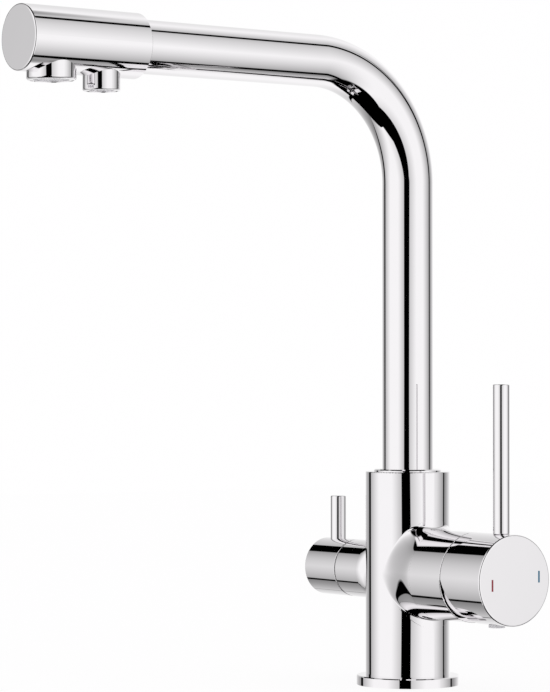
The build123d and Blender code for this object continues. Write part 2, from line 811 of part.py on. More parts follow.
def mixer_handle():
    drum = drum_outside()
    inside_end = handle_face - handle_face_h
    boss = cross_rod(lever_boss_r, 0, handle_r - OVER, lever_reach, MIXER_UP)
    inside = rod(handle_r - handle_wall, pivot_reach - OVER, inside_end)
    drum = drum - (inside - rod(hub_r, hub_start, inside_end) - boss)
    drum = drum - rod(stem_r + SEAT_GAP, hub_start - OVER, stem_end + FACE_GAP)
    stud_hole_start = lever_stud_end - stud_play
    drum = drum - cross_rod(lever_stud_r + SEAT_GAP, stud_hole_start, handle_r, lever_reach, MIXER_UP)
    drum = drum - cross_rod(lever_r + FACE_GAP, lever_seat, handle_r + OVER, lever_reach, MIXER_UP)
    drum = drum - cross_rod(grub_r + SEAT_GAP, 0, hub_r + OVER, plug_reach, -MIXER_UP)
    drum = drum - cross_rod(plug_r + SEAT_GAP, plug_hole_start, handle_r + OVER, plug_reach, -MIXER_UP)
    return solid_of(on_mixer(drum) - hot_mark() - cold_mark())


def mark(at):
    return Pos(handle_face - mark_depth / 2, at[0], valve_z + at[1]) * Box(mark_depth, mark_w, mark_h)


def hot_mark():
    return mark(hot_mark_at)


def cold_mark():
    return mark(cold_mark_at)


def lever_rod():
    top = lever_top - valve_z
    stick = cross_rod(lever_r, lever_seat, top, lever_reach, MIXER_UP)
    stick = fillet(end_edge(stick, Axis.X, last=False), rod_round)
    stick = fillet(end_edge(stick, Axis.X), rod_round)
    stud = cross_rod(lever_stud_r, lever_stud_end, lever_seat, lever_reach, MIXER_UP)
    return on_mixer(stick + stud)


def key_hole(r, end, reach, side):
    """Hexagon for a key in the outer end of a screw that is square to a branch."""
    mouth = Pos(side * end, 0, reach) * Rot(0, side * 90, 0)
    return mouth * extrude(RegularPolygon(r, 6), -hex_key_depth)


def handle_grub_screw():
    screw = cross_rod(grub_r, grub_start, grub_end, plug_reach, -MIXER_UP)
    return on_mixer(screw - key_hole(hex_key_r, grub_end, plug_reach, -MIXER_UP))


def grub_plug():
    plug = cross_rod(plug_r, plug_inside, handle_r + plug_proud, plug_reach, -MIXER_UP)
    return on_mixer(fillet(end_edge(plug, Axis.X), edge_round))


# ---------------------------------------------------------------- filtered water valve, local Z along -X
def headwork_seal_mid():
    return headwork_bore_r - SEAL_GAP - valve_seal_wire


def filter_headwork():
    barrel_r = headwork_bore_r - SEAT_GAP
    part = rod(sleeve_r, sleeve_start, sleeve_end) + rod(barrel_r, sleeve_end, filter_end)
    hexagon = extrude(Plane((0, 0, filter_end)) * RegularPolygon(headwork_hex_r, 6), headwork_flange_h)
    part = part + hexagon + rod(headwork_neck_r, filter_end + headwork_flange_h, headwork_neck_end)
    part = part - rod(chamber_r, sleeve_start - OVER, chamber_end)
    part = part - rod(spindle_r + RUN_GAP, chamber_end - OVER, headwork_neck_end + OVER)
    part = part - cross_rod(window_r, -headwork_bore_r, headwork_bore_r, window_at, -FILTER_UP)
    half = valve_seal_wire + GROOVE_PLAY
    groove_r = headwork_seal_mid() - valve_seal_wire - SEAT_GAP
    part = part - ring(barrel_r + OVER, groove_r, headwork_seal_at - half, headwork_seal_at + half)
    return on_filter(solid_of(part))


def headwork_o_ring():
    return on_filter(o_ring(headwork_seal_mid(), valve_seal_wire, headwork_seal_at))


def filter_seat_seal():
    return on_filter(ring(sleeve_r, seat_seal_bore, headwork_floor, sleeve_start))


def half_disc_hole(start, end, side):
    """Opening in one half of a small valve disc."""
    return Pos(side * filter_disc_r / 2, 0, 0) * rod(filter_way_r, start - OVER, end + OVER)


def filter_fixed_disc():
    end = sleeve_start + filter_disc_h
    disc = rod(filter_disc_r, sleeve_start, end)
    return on_filter(disc - half_disc_hole(sleeve_start, end, 1) - half_disc_hole(sleeve_start, end, -1))


def filter_turning_disc():
    end = turning_disc_start + filter_disc_h
    openings = half_disc_hole(turning_disc_start, end, 1) + half_disc_hole(turning_disc_start, end, -1)
    return on_filter(rod(filter_disc_r, turning_disc_start, end) - Rot(0, 0, 90) * openings)


def filter_spindle():
    foot_start = turning_disc_start + filter_disc_h
    foot_end = chamber_end - FACE_GAP
    part = rod(chamber_r - PLAY, foot_start, foot_end) + rod(spindle_r, foot_end, spindle_end)
    half = spindle_seal_wire + GROOVE_PLAY
    groove_r = spindle_r - 2 * spindle_seal_wire - SEAT_GAP
    return on_filter(part - ring(spindle_r + OVER, groove_r, spindle_seal_at - half, spindle_seal_at + half))


def spindle_o_ring():
    return on_filter(o_ring(spindle_r - spindle_seal_wire, spindle_seal_wire, spindle_seal_at))


def filter_knob():
    knob = fillet(end_edge(rod(knob_r, knob_start, knob_end), Axis.Z), edge_round)
    knob = fillet(end_edge(knob, Axis.Z, last=False), seam_round)
    knob = knob - rod(knob_r - knob_wall, knob_start - OVER, knob_solid)
    knob = knob - rod(spindle_r + SEAT_GAP, knob_solid - OVER, spindle_end + FACE_GAP)
    stud_hole_start = pin_stud_end - stud_play
    knob = knob - cross_rod(pin_stud_r + SEAT_GAP, stud_hole_start, knob_r, pin_reach, FILTER_UP)
    knob = knob - cross_rod(pin_r + SEAT_GAP, pin_seat, knob_r + OVER, pin_reach, FILTER_UP)
    knob = knob - cross_rod(knob_grub_r + SEAT_GAP, 0, knob_r + OVER, knob_grub_reach, -FILTER_UP)
    return on_filter(solid_of(knob))


def filter_pin():
    top = pin_top - valve_z
    stick = cross_rod(pin_r, pin_seat, top, pin_reach, FILTER_UP)
    stick = fillet(end_edge(stick, Axis.X), rod_round)
    return on_filter(stick + cross_rod(pin_stud_r, pin_stud_end, pin_seat, pin_reach, FILTER_UP))


def knob_grub_screw():
    screw = cross_rod(knob_grub_r, spindle_r + SEAT_GAP, knob_grub_end, knob_grub_reach, -FILTER_UP)
    return on_filter(screw - key_hole(knob_key_r, knob_grub_end, knob_grub_reach, -FILTER_UP))


# ---------------------------------------------------------------- every piece, under its node's name
PIECES = [
    base_flange, base_gasket, tap_body,
    slip_ring, spout_lock_screw, spout_bush, spout_o_rings, lower_guide_ring,
    spout_tube, filtered_water_tube, filter_swivel, filter_swivel_o_ring, filter_tube_fitting,
    spout_head, head_end_cap, head_adapter, head_o_ring,
    aerator_sleeve, aerator_insert, aerator_seal, nozzle_sleeve, nozzle_insert, nozzle_seal,
    cartridge_base, port_seals, fixed_disc, moving_disc, disc_carrier, turning_guide, pivot_pin,
    cartridge_body, cartridge_nut, cartridge_stem, dome_ring,
    mixer_handle, hot_mark, cold_mark, lever_rod, handle_grub_screw, grub_plug,
    filter_headwork, headwork_o_ring, filter_seat_seal, filter_fixed_disc, filter_turning_disc,
    filter_spindle, spindle_o_ring, filter_knob, filter_pin, knob_grub_screw,
]

os.makedirs("parts", exist_ok=True)
for piece in PIECES:
    save(piece(), piece.__name__)
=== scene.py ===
# %% [markdown]
# # A three way filtered water tap, dressed over its engineering model
#
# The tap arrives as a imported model: fifty solids that already sit where they belong and move on five
# joints. This lesson gives them their real surfaces, remakes the pieces whose shape follows a simple rule,
# and photographs the whole in a white studio tent. Everything is in metres, with the worktop at Z = 0 and
# the spout pointing towards -Y.

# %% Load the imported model
import json
import math

import bmesh
import bpy
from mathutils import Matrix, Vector


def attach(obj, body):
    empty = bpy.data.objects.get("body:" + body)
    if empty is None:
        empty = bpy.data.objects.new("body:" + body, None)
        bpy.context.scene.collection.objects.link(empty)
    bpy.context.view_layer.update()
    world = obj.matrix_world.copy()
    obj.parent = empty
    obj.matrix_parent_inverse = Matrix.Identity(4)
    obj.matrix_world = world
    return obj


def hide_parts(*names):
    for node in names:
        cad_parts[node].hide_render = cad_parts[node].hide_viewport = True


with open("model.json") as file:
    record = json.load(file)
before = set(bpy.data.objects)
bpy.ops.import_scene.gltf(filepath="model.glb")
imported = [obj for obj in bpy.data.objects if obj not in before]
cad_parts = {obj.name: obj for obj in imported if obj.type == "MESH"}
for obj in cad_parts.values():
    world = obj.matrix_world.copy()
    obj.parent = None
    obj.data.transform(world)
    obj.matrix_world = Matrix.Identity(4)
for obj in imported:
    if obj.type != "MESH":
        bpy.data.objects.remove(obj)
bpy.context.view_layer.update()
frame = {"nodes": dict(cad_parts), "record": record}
nodes = frame["nodes"]
MM = 0.001

# %% [markdown]
# ## The camera
#
# The photograph was taken with a long lens from the front left of the spout, level with the valves and
# tipped up by less than one degree. Upright things stay upright, so the lens needs no shift.

# %% Camera
CAMERA_AT = Vector((1.2710, -1.0059, 0.1651))
CAMERA_AZIMUTH = math.radians(54.23)
CAMERA_PITCH = math.radians(0.74)
LENS_MM = 152.78
SENSOR_MM = 36.0

camera_data = bpy.data.cameras.new("camera")
camera_data.lens = LENS_MM
camera_data.sensor_width = SENSOR_MM
camera = bpy.data.objects.new("camera", camera_data)
bpy.context.scene.collection.objects.link(camera)
camera.location = CAMERA_AT
camera.rotation_euler = (math.radians(90) + CAMERA_PITCH, 0.0, CAMERA_AZIMUTH)
bpy.context.scene.camera = camera
bpy.context.scene.view_settings.view_transform = "Standard"
print("camera at", tuple(round(c, 3) for c in CAMERA_AT), "with a lens of", LENS_MM, "mm")

# %% [markdown]
# ## Small helpers for materials
#
# A shader is a graph, and most of its code is the same line over and over: add a node, set some of its
# sockets, join others. One function does that. Colours are written the way they are picked on a screen,
# as sRGB hex values, and one function turns them to the linear values that the renderer counts in.


# %% Material helpers
def linear(hex_colour):
    """Linear RGBA of an sRGB hex colour."""
    parts = [int(hex_colour[i:i + 2], 16) / 255 for i in (1, 3, 5)]
    return (*[c / 12.92 if c <= 0.04045 else ((c + 0.055) / 1.055) ** 2.4 for c in parts], 1.0)


def darker(hex_colour, share):
    """Linear RGBA of an sRGB hex colour with only a share of its light left."""
    return tuple(c * share for c in linear(hex_colour)[:3]) + (1.0,)


def add_node(tree, kind, links=(), **settings):
    """Adds a node: settings set its properties or, where there is none of that name, its sockets."""
    node = tree.nodes.new(kind)
    for name, value in settings.items():
        if name.startswith("in_"):
            key = name[3:]
            node.inputs[int(key) if key.isdigit() else key.replace("_", " ")].default_value = value
        else:
            setattr(node, name, value)
    for socket, source in dict(links).items():
        tree.links.new(source, node.inputs[socket])
    return node


def math_node(tree, operation, a, b=None, clamp=False):
    """Adds a sum of one or two values, each a number or another node's output."""
    node = add_node(tree, "ShaderNodeMath", operation=operation, use_clamp=clamp)
    for index, value in enumerate((a, b)):
        if isinstance(value, (int, float)):
            node.inputs[index].default_value = value
        elif value is not None:
            tree.links.new(value, node.inputs[index])
    return node.outputs[0]


def new_material(name, slot):
    """An empty material with its output and its shader, for one of the record's slots."""
    material = bpy.data.materials.new(name)
    material.use_nodes = True
    material["slot"] = slot
    tree = material.node_tree
    tree.nodes.clear()
    shader = add_node(tree, "ShaderNodeBsdfPrincipled")
    add_node(tree, "ShaderNodeOutputMaterial", {"Surface": shader.outputs["BSDF"]})
    return material, tree, shader


def join_skin(tree, shader, tint, rough, bump):
    """Gives a shader its colour, its roughness and its relief."""
    tree.links.new(tint.outputs[0], shader.inputs["Base Color"])
    tree.links.new(rough.outputs["Result"], shader.inputs["Roughness"])
    tree.links.new(bump.outputs["Normal"], shader.inputs["Normal"])


print("material helpers ready")

# %% [markdown]
# ## Chrome plate on brass
#
# The bright skin of a tap is bright nickel with a hair of chromium on it, over polished brass. It is a
# mirror with a slightly cool tone. What tells plating from a perfect mirror is what polishing leaves: a
# very slow waviness of the reflections, millimetres long and a fraction of a micron deep, and faint
# wiping haze where the roughness goes up a little. Both are drawn with noise in object coordinates.


# %% Chrome
def chrome_plate(name, tone, haze):
    """A mirror with faint wiping haze and a slow wave left by the polishing."""
    material, tree, shader = new_material(name, "chrome_on_brass")
    place = add_node(tree, "ShaderNodeTexCoord").outputs["Object"]
    wipe = add_node(tree, "ShaderNodeTexNoise", {"Vector": place}, in_Scale=90.0, in_Detail=3.0)
    rough = add_node(tree, "ShaderNodeMapRange", {"Value": wipe.outputs["Fac"]},
                     in_3=haze * 0.6, in_4=haze * 1.4)
    wave = add_node(tree, "ShaderNodeTexNoise", {"Vector": place}, in_Scale=55.0, in_Detail=1.0)
    bump = add_node(tree, "ShaderNodeBump", {"Height": wave.outputs["Fac"]},
                    in_Strength=0.003, in_Distance=0.0004)
    tint = add_node(tree, "ShaderNodeMixRGB", {"Fac": wipe.outputs["Fac"]},
                    in_1=linear(tone), in_2=darker(tone, 0.985))
    shader.inputs["Metallic"].default_value = 1.0
    join_skin(tree, shader, tint, rough, bump)
    return material


chrome = chrome_plate("chrome_plate_on_brass", "#F3F1F3", haze=0.012)
print("made", chrome.name)

# %% [markdown]
# ## The hidden and the small materials
#
# Inside there are machined brass, turned stainless steel, lapped alumina, moulded acetal, polyethylene hose
# and black EPDM rubber. Each gets the mark of how it is made: turning lines on the metals, a fine grain on
# the mouldings.


# %% Other materials
COARSER = 20                           # how much coarser than the real ones turning lines are drawn


def machined_metal(name, slot, tone, roughness, pitch_mm):
    """Turned metal: fine bands, drawn coarser than the real ones so that they show."""
    material, tree, shader = new_material(name, slot)
    place = add_node(tree, "ShaderNodeTexCoord").outputs["Object"]
    bands = add_node(tree, "ShaderNodeTexWave", {"Vector": place}, wave_type="RINGS",
                     rings_direction="SPHERICAL", in_Scale=1 / (pitch_mm * MM * COARSER), in_Distortion=0.6)
    grain = add_node(tree, "ShaderNodeTexNoise", {"Vector": place}, in_Scale=400.0, in_Detail=2.0)
    tint = add_node(tree, "ShaderNodeMixRGB", {"Fac": grain.outputs["Fac"]}, in_1=linear(tone),
                    in_2=darker(tone, 0.8))
    rough = add_node(tree, "ShaderNodeMapRange", {"Value": bands.outputs["Fac"]},
                     in_3=roughness * 0.8, in_4=roughness * 1.3)
    bump = add_node(tree, "ShaderNodeBump", {"Height": bands.outputs["Fac"]},
                    in_Strength=0.1, in_Distance=0.00005)
    shader.inputs["Metallic"].default_value = 1.0
    join_skin(tree, shader, tint, rough, bump)
    return material


def moulded(name, slot, tone, roughness, grain_mm, depth_mm):
    """Plastic, rubber or ceramic with a fine skin grain and a slight change of tone."""
    material, tree, shader = new_material(name, slot)
    place = add_node(tree, "ShaderNodeTexCoord").outputs["Object"]
    grain = add_node(tree, "ShaderNodeTexNoise", {"Vector": place}, in_Scale=1 / (grain_mm * MM),
                     in_Detail=2.0)
    cloud = add_node(tree, "ShaderNodeTexNoise", {"Vector": place}, in_Scale=60.0, in_Detail=2.0)
    tint = add_node(tree, "ShaderNodeMixRGB", {"Fac": cloud.outputs["Fac"]}, in_1=linear(tone),
                    in_2=darker(tone, 0.88))
    rough = add_node(tree, "ShaderNodeMapRange", {"Value": cloud.outputs["Fac"]},
                     in_3=roughness * 0.85, in_4=roughness * 1.15)
    bump = add_node(tree, "ShaderNodeBump", {"Height": grain.outputs["Fac"]},
                    in_Strength=0.25, in_Distance=depth_mm * MM)
    join_skin(tree, shader, tint, rough, bump)
    return material


finishes = {
    "chrome_on_brass": chrome,
    "bare_brass": machined_metal("machined_brass", "bare_brass", "#C9A25E", 0.28, 0.15),
    "steel": machined_metal("turned_stainless_steel", "steel", "#B9B8BA", 0.3, 0.12),
    "black_rubber": moulded("moulded_EPDM_rubber", "black_rubber", "#1B1B1C", 0.62, 0.25, 0.02),
    "white_ceramic": moulded("lapped_alumina", "white_ceramic", "#F1EFE6", 0.22, 0.3, 0.002),
    "grey_cartridge_plastic": moulded("moulded_POM", "grey_cartridge_plastic", "#8F9193", 0.42, 0.3, 0.01),
    "slide_plastic": moulded("turned_acetal", "slide_plastic", "#55565A", 0.4, 0.25, 0.01),
    "white_hose": moulded("extruded_polyethylene", "white_hose", "#E4E4E0", 0.38, 0.5, 0.01),
    "light_grey_plastic": moulded("moulded_ABS", "light_grey_plastic", "#E2E1E4", 0.4, 0.3, 0.01),
    "red_enamel": moulded("red_enamel", "red_enamel", "#8C2A36", 0.25, 0.2, 0.004),
    "blue_enamel": moulded("blue_enamel", "blue_enamel", "#3A708A", 0.25, 0.2, 0.004),
}
for node_name, obj in nodes.items():
    slot = next(s["material_slot"] for s in frame["record"]["subparts"] if s["node"] == node_name)
    for index in range(len(obj.material_slots)):
        obj.material_slots[index].material = finishes[slot]
print("dressed", len(nodes), "nodes in", len(finishes), "materials")

# %% [markdown]
# ## Growing a piece from rules
#
# A piece whose shape follows a rule is better grown than modelled. Geometry Nodes is the tool: a tree of
# small steps with named numbers on its front panel. The helper below builds a tree's frame, the next one
# runs it on an empty object and keeps the mesh that comes out.


# %% Geometry Nodes helpers
def new_tree(name, numbers):
    """A geometry tree with its named inputs; returns the tree, its inputs' sockets and its output."""
    tree = bpy.data.node_groups.new(name, "GeometryNodeTree")
    tree.interface.new_socket("Geometry", in_out="OUTPUT", socket_type="NodeSocketGeometry")
    for label, value in numbers.items():
        kind = "NodeSocketInt" if isinstance(value, int) else "NodeSocketFloat"
        tree.interface.new_socket(label, in_out="INPUT", socket_type=kind)
    return tree, add_node(tree, "NodeGroupInput").outputs, add_node(tree, "NodeGroupOutput")


def finish_tree(tree, shape, output, material):
    """Ends a tree: real geometry instead of instances, and its material."""
    real = add_node(tree, "GeometryNodeRealizeInstances", {0: shape})
    painted = add_node(tree, "GeometryNodeSetMaterial", {0: real.outputs[0]}, in_Material=material)
    tree.links.new(painted.outputs[0], output.inputs[0])


def grow(name, tree, numbers):
    """Runs a tree with these numbers and keeps the mesh it makes."""
    seed_mesh = bpy.data.meshes.new(name + "_seed")
    seed = bpy.data.objects.new(name + "_seed", seed_mesh)
    bpy.context.scene.collection.objects.link(seed)
    modifier = seed.modifiers.new(name, "NODES")
    modifier.node_group = tree
    for item in tree.interface.items_tree:
        if item.in_out == "INPUT":
            modifier[item.identifier] = numbers[item.name]
    graph = bpy.context.evaluated_depsgraph_get()
    mesh = bpy.data.meshes.new_from_object(seed.evaluated_get(graph), depsgraph=graph)
    mesh.name = name
    bpy.data.objects.remove(seed)
    bpy.data.meshes.remove(seed_mesh)
    grown = bpy.data.objects.new(name, mesh)
    bpy.context.scene.collection.objects.link(grown)
    return grown


print("helpers ready")

# %% [markdown]
# ## The spout tube, grown along its path
#
# A tube bender starts from a straight tube and rounds one corner. The tree does the same: three points give
# the path, the corner is filleted to the bend radius, and a circle is drawn along it twice, once for the
# outside and once, turned inside out, for the bore. The two open ends are closed with flat rings.

# %% Spout tube
TUBE = {
    "Tube radius": 14.0 * MM, "Wall": 1.2 * MM, "Bend radius": 64.0 * MM, "Foot height": 92.0 * MM,
    "Spout height": 339.5 * MM, "Tip reach": 184.5 * MM, "Bend steps": 144, "Sides": 160,
}
FOOT_BELOW = 200 * MM                  # the tube's foot is under this height and its tip over it
tree, given, output = new_tree("bent_tube", TUBE)
points = add_node(tree, "GeometryNodeMeshLine", in_Count=3)
step = add_node(tree, "GeometryNodeInputIndex").outputs[0]
is_high = math_node(tree, "GREATER_THAN", step, 0.5)
is_tip = math_node(tree, "GREATER_THAN", step, 1.5)
rise_of = math_node(tree, "SUBTRACT", given["Spout height"], given["Foot height"])
height = math_node(tree, "ADD", given["Foot height"], math_node(tree, "MULTIPLY", rise_of, is_high))
reach = math_node(tree, "MULTIPLY", math_node(tree, "MULTIPLY", given["Tip reach"], is_tip), -1.0)
place = add_node(tree, "ShaderNodeCombineXYZ", {"Y": reach, "Z": height}).outputs[0]
placed = add_node(tree, "GeometryNodeSetPosition", {"Geometry": points.outputs[0], "Position": place})
path_curve = add_node(tree, "GeometryNodeMeshToCurve", {0: placed.outputs[0]})
bend = add_node(tree, "GeometryNodeFilletCurve", {"Curve": path_curve.outputs[0],
                "Count": given["Bend steps"], "Radius": given["Bend radius"]}, mode="POLY")
bore = math_node(tree, "SUBTRACT", given["Tube radius"], given["Wall"])
walls = add_node(tree, "GeometryNodeJoinGeometry")
for wall_radius, inward in ((given["Tube radius"], False), (bore, True)):
    profile = add_node(tree, "GeometryNodeCurvePrimitiveCircle",
                       {"Resolution": given["Sides"], "Radius": wall_radius})
    swept = add_node(tree, "GeometryNodeCurveToMesh",
                     {"Curve": bend.outputs[0], "Profile Curve": profile.outputs[0]}).outputs[0]
    if inward:
        swept = add_node(tree, "GeometryNodeFlipFaces", {0: swept}).outputs[0]
    tree.links.new(swept, walls.inputs[0])
finish_tree(tree, walls.outputs[0], output, chrome)
spout_tube = grow("spout_tube_grown", tree, TUBE)

work = bmesh.new()
work.from_mesh(spout_tube.data)
rims = [edge for edge in work.edges if edge.is_boundary]
for at_foot in (True, False):
    ends = [e for e in rims if (e.verts[0].co.z < FOOT_BELOW) == at_foot]
    bmesh.ops.bridge_loops(work, edges=ends)
for face in work.faces:
    face.smooth = True
for edge in rims:
    edge.smooth = False
work.to_mesh(spout_tube.data)
work.free()
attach(spout_tube, "spout")
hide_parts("spout_tube")
print("grew", spout_tube.name, "with", len(spout_tube.data.polygons), "faces")

# %% [markdown]
# ## The two spray faces
#
# The insert in each outlet is a moulded disc with round holes on a triangular grid. In the tree a grid of
# points is sheared row by row, the points too near the rim are dropped, each one left carries a drill, and
# all the drills are cut from the disc at once. One tree makes both, from its own numbers.

# %% Spray faces
SPRAY_FACES = {
    "aerator_insert": {"Disc radius": 9.77 * MM, "Height": 4.0 * MM, "Bottom": 319.6 * MM,
                       "Reach": 229.8 * MM, "Pitch": 2.4 * MM, "Hole radius": 0.65 * MM, "Rows": 11},
    "nozzle_insert": {"Disc radius": 7.07 * MM, "Height": 4.6 * MM, "Bottom": 315.9 * MM,
                      "Reach": 199.7 * MM, "Pitch": 2.0 * MM, "Hole radius": 0.55 * MM, "Rows": 9},
}
tree, given, output = new_tree("spray_face", SPRAY_FACES["aerator_insert"])
disc = add_node(tree, "GeometryNodeMeshCylinder", {"Radius": given["Disc radius"], "Depth": given["Height"]},
                in_Vertices=96)
drill_depth = math_node(tree, "MULTIPLY", given["Height"], 1.5)
drill = add_node(tree, "GeometryNodeMeshCylinder", {"Radius": given["Hole radius"], "Depth": drill_depth},
                 in_Vertices=20)
spots = add_node(tree, "GeometryNodeMeshGrid", {"Vertices X": given["Rows"], "Vertices Y": given["Rows"]},
                 in_Size_X=0.0, in_Size_Y=0.0)
step = add_node(tree, "GeometryNodeInputIndex").outputs[0]
row = math_node(tree, "FLOOR", math_node(tree, "DIVIDE", math_node(tree, "ADD", step, 0.5), given["Rows"]))
column = math_node(tree, "SUBTRACT", step, math_node(tree, "MULTIPLY", row, given["Rows"]))
middle = math_node(tree, "FLOOR", math_node(tree, "MULTIPLY", given["Rows"], 0.5))
row_from_middle = math_node(tree, "SUBTRACT", row, middle)
column_from_middle = math_node(tree, "SUBTRACT", column, middle)
shift = math_node(tree, "MULTIPLY", math_node(tree, "FLOORED_MODULO", row_from_middle, 2.0), 0.5)
x = math_node(tree, "MULTIPLY", math_node(tree, "ADD", column_from_middle, shift), given["Pitch"])
row_pitch = math_node(tree, "MULTIPLY", given["Pitch"], math.sqrt(3) / 2)
y = math_node(tree, "MULTIPLY", row_from_middle, row_pitch)
place = add_node(tree, "ShaderNodeCombineXYZ", {"X": x, "Y": y}).outputs[0]
spread = add_node(tree, "GeometryNodeSetPosition", {"Geometry": spots.outputs[0], "Position": place})
here = add_node(tree, "GeometryNodeInputPosition").outputs[0]
from_centre = add_node(tree, "ShaderNodeVectorMath", {0: here}, operation="LENGTH").outputs["Value"]
limit = math_node(tree, "SUBTRACT", given["Disc radius"],
                  math_node(tree, "MULTIPLY", given["Hole radius"], 2.0))
outside = math_node(tree, "GREATER_THAN", from_centre, limit)
kept = add_node(tree, "GeometryNodeDeleteGeometry", {"Geometry": spread.outputs[0], "Selection": outside})
drills = add_node(tree, "GeometryNodeInstanceOnPoints", {"Points": kept.outputs[0],
                  "Instance": drill.outputs[0]})
solid_drills = add_node(tree, "GeometryNodeRealizeInstances", {0: drills.outputs[0]})
cut = add_node(tree, "GeometryNodeMeshBoolean", operation="DIFFERENCE", solver="FLOAT")
tree.links.new(disc.outputs[0], cut.inputs["Mesh 1"])
tree.links.new(solid_drills.outputs[0], cut.inputs["Mesh 2"])
half_height = math_node(tree, "MULTIPLY", given["Height"], 0.5)
lift = add_node(tree, "ShaderNodeCombineXYZ", {"Y": math_node(tree, "MULTIPLY", given["Reach"], -1.0),
                "Z": math_node(tree, "ADD", given["Bottom"], half_height)}).outputs[0]
moved = add_node(tree, "GeometryNodeTransform", {"Geometry": cut.outputs[0], "Translation": lift})
finish_tree(tree, moved.outputs[0], output, finishes["light_grey_plastic"])
for node_name, numbers in SPRAY_FACES.items():
    face = grow(node_name + "_grown", tree, numbers)
    face.data.shade_flat()
    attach(face, "spout")
    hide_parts(node_name)
    print("grew", face.name, "with", len(face.data.polygons), "faces")

# %% [markdown]
# ## The root of the mixer branch
#
# Where the mixer branch leaves the column the casting is blended by hand: on top and below it is a round
# the size of a fingertip, at the front it draws out into a long soft swell. The engineering solid has an
# even round there. The shown casting keeps all of the solid but that round, with the exact normals of its
# corners, and closes the place with a blend that follows a rule. A ball rolled along the corner between
# column and branch gives the line where the blend starts on the column. The ball is smallest on top and
# below and largest on the upper shoulders. From that line, at each turn round the branch, one curve leaves
# along the column's skin and arrives along the branch.

# %% Tap body
COLUMN_R, NECK_R, BRANCH_R = 23.25 * MM, 22.62 * MM, 24.25 * MM
BLEND_END, BRANCH_Z = 31.0 * MM, 61.5 * MM
CUT_BALL = 6.8 * MM                    # the ball that would reach the edge of the removed round
LAP, SKIN = 0.4 * MM, 0.002 * MM       # how far the blend runs past its edges, and how high it lies there
END_PULL = 0.24                        # length of the curves' handle on the branch, as a share of their span
TURNS, STEPS, SKIN_STEPS = 288, 40, 6
# The ball in mm: at the front, how much less on top and below, how much more on the shoulders, and how
# much more again on the upper ones
BALL_FRONT, BALL_LESS, BALL_SHOULDER, BALL_UPPER = 5.0, 2.0, 3.2, 3.0
# Length of the curves' handle on the column, as a share of their span: everywhere, more at the front
# and at the back, and more on top and below, each with how fast it fades away from there
PULL, PULL_FRONT, FRONT_FADE, PULL_TOP, TOP_FADE = 0.05, 0.27, 20, 0.23, 4
ROUND_FROM, ROUND_TO = 20.9 * MM, 34.0 * MM    # the removed round's distance from the branch's line
BORES_INSIDE = COLUMN_R - 0.3 * MM     # what is nearer the column's axis than this belongs to its bores
BRANCH_SIDE = 1 * MM                   # the removed round lies further out along X than this
ON_SKIN, LEVEL = 0.02 * MM, 0.002      # how near counts as on the column's skin, and as a level normal
SAME_POINT = 7                         # decimals of a metre to which two corners are one point


def exact_faces(source, keep):
    """Points, faces and corner normals of a solid's mesh, joined where they meet, of the faces kept."""
    mesh, place = source.data, source.matrix_world
    turned = [place.to_3x3() @ normal.vector for normal in mesh.corner_normals]
    points, index_at, joined = [], {}, []
    for vertex in mesh.vertices:
        at = place @ vertex.co
        key = tuple(round(c, SAME_POINT) for c in at)
        if key not in index_at:
            index_at[key] = len(points)
            points.append(at)
        joined.append(index_at[key])
    faces, normals = [], []
    for polygon in mesh.polygons:
        corners = [joined[v] for v in polygon.vertices]
        corner_normals = [turned[i] for i in polygon.loop_indices]
        if len(set(corners)) == len(corners) and keep([points[c] for c in corners], corner_normals):
            faces.append(corners)
            normals.extend(corner_normals)
    return points, faces, normals


def outside_root(corners, corner_normals):
    """Whether a face isn't part of the round between the column and the mixer branch."""
    middle = sum(corners, Vector()) / len(corners)
    from_axis = math.hypot(middle.y, middle.z - BRANCH_Z)
    inside_bores = math.hypot(middle.x, middle.y) < BORES_INSIDE
    if inside_bores or middle.x < BRANCH_SIDE or max(c.x for c in corners) > BLEND_END + ON_SKIN:
        return True
    if not ROUND_FROM < from_axis < ROUND_TO:
        return True
    on_column = all(abs(math.hypot(c.x, c.y) - COLUMN_R) < ON_SKIN for c in corners)
    return on_column and all(abs(normal.z) < LEVEL for normal in corner_normals)


def ball_radius(turn):
    """The ball in the corner at one turn round the branch, counted from the front upwards."""
    swing, shoulder = math.sin(turn), math.sin(2 * turn) ** 2
    return (BALL_FRONT - BALL_LESS * swing ** 2 + shoulder * (BALL_SHOULDER + BALL_UPPER * swing)) * MM


def on_skin(turn, ball):
    """Where a ball in the corner touches the column's skin at one turn, and the skin's normal there."""
    facing = math.acos(math.cos(turn) * (NECK_R + ball) / (COLUMN_R + ball))
    normal = Vector((math.sin(facing), -math.cos(facing), 0))
    return normal * COLUMN_R + Vector((0, 0, BRANCH_Z + (NECK_R + ball) * math.sin(turn))), normal


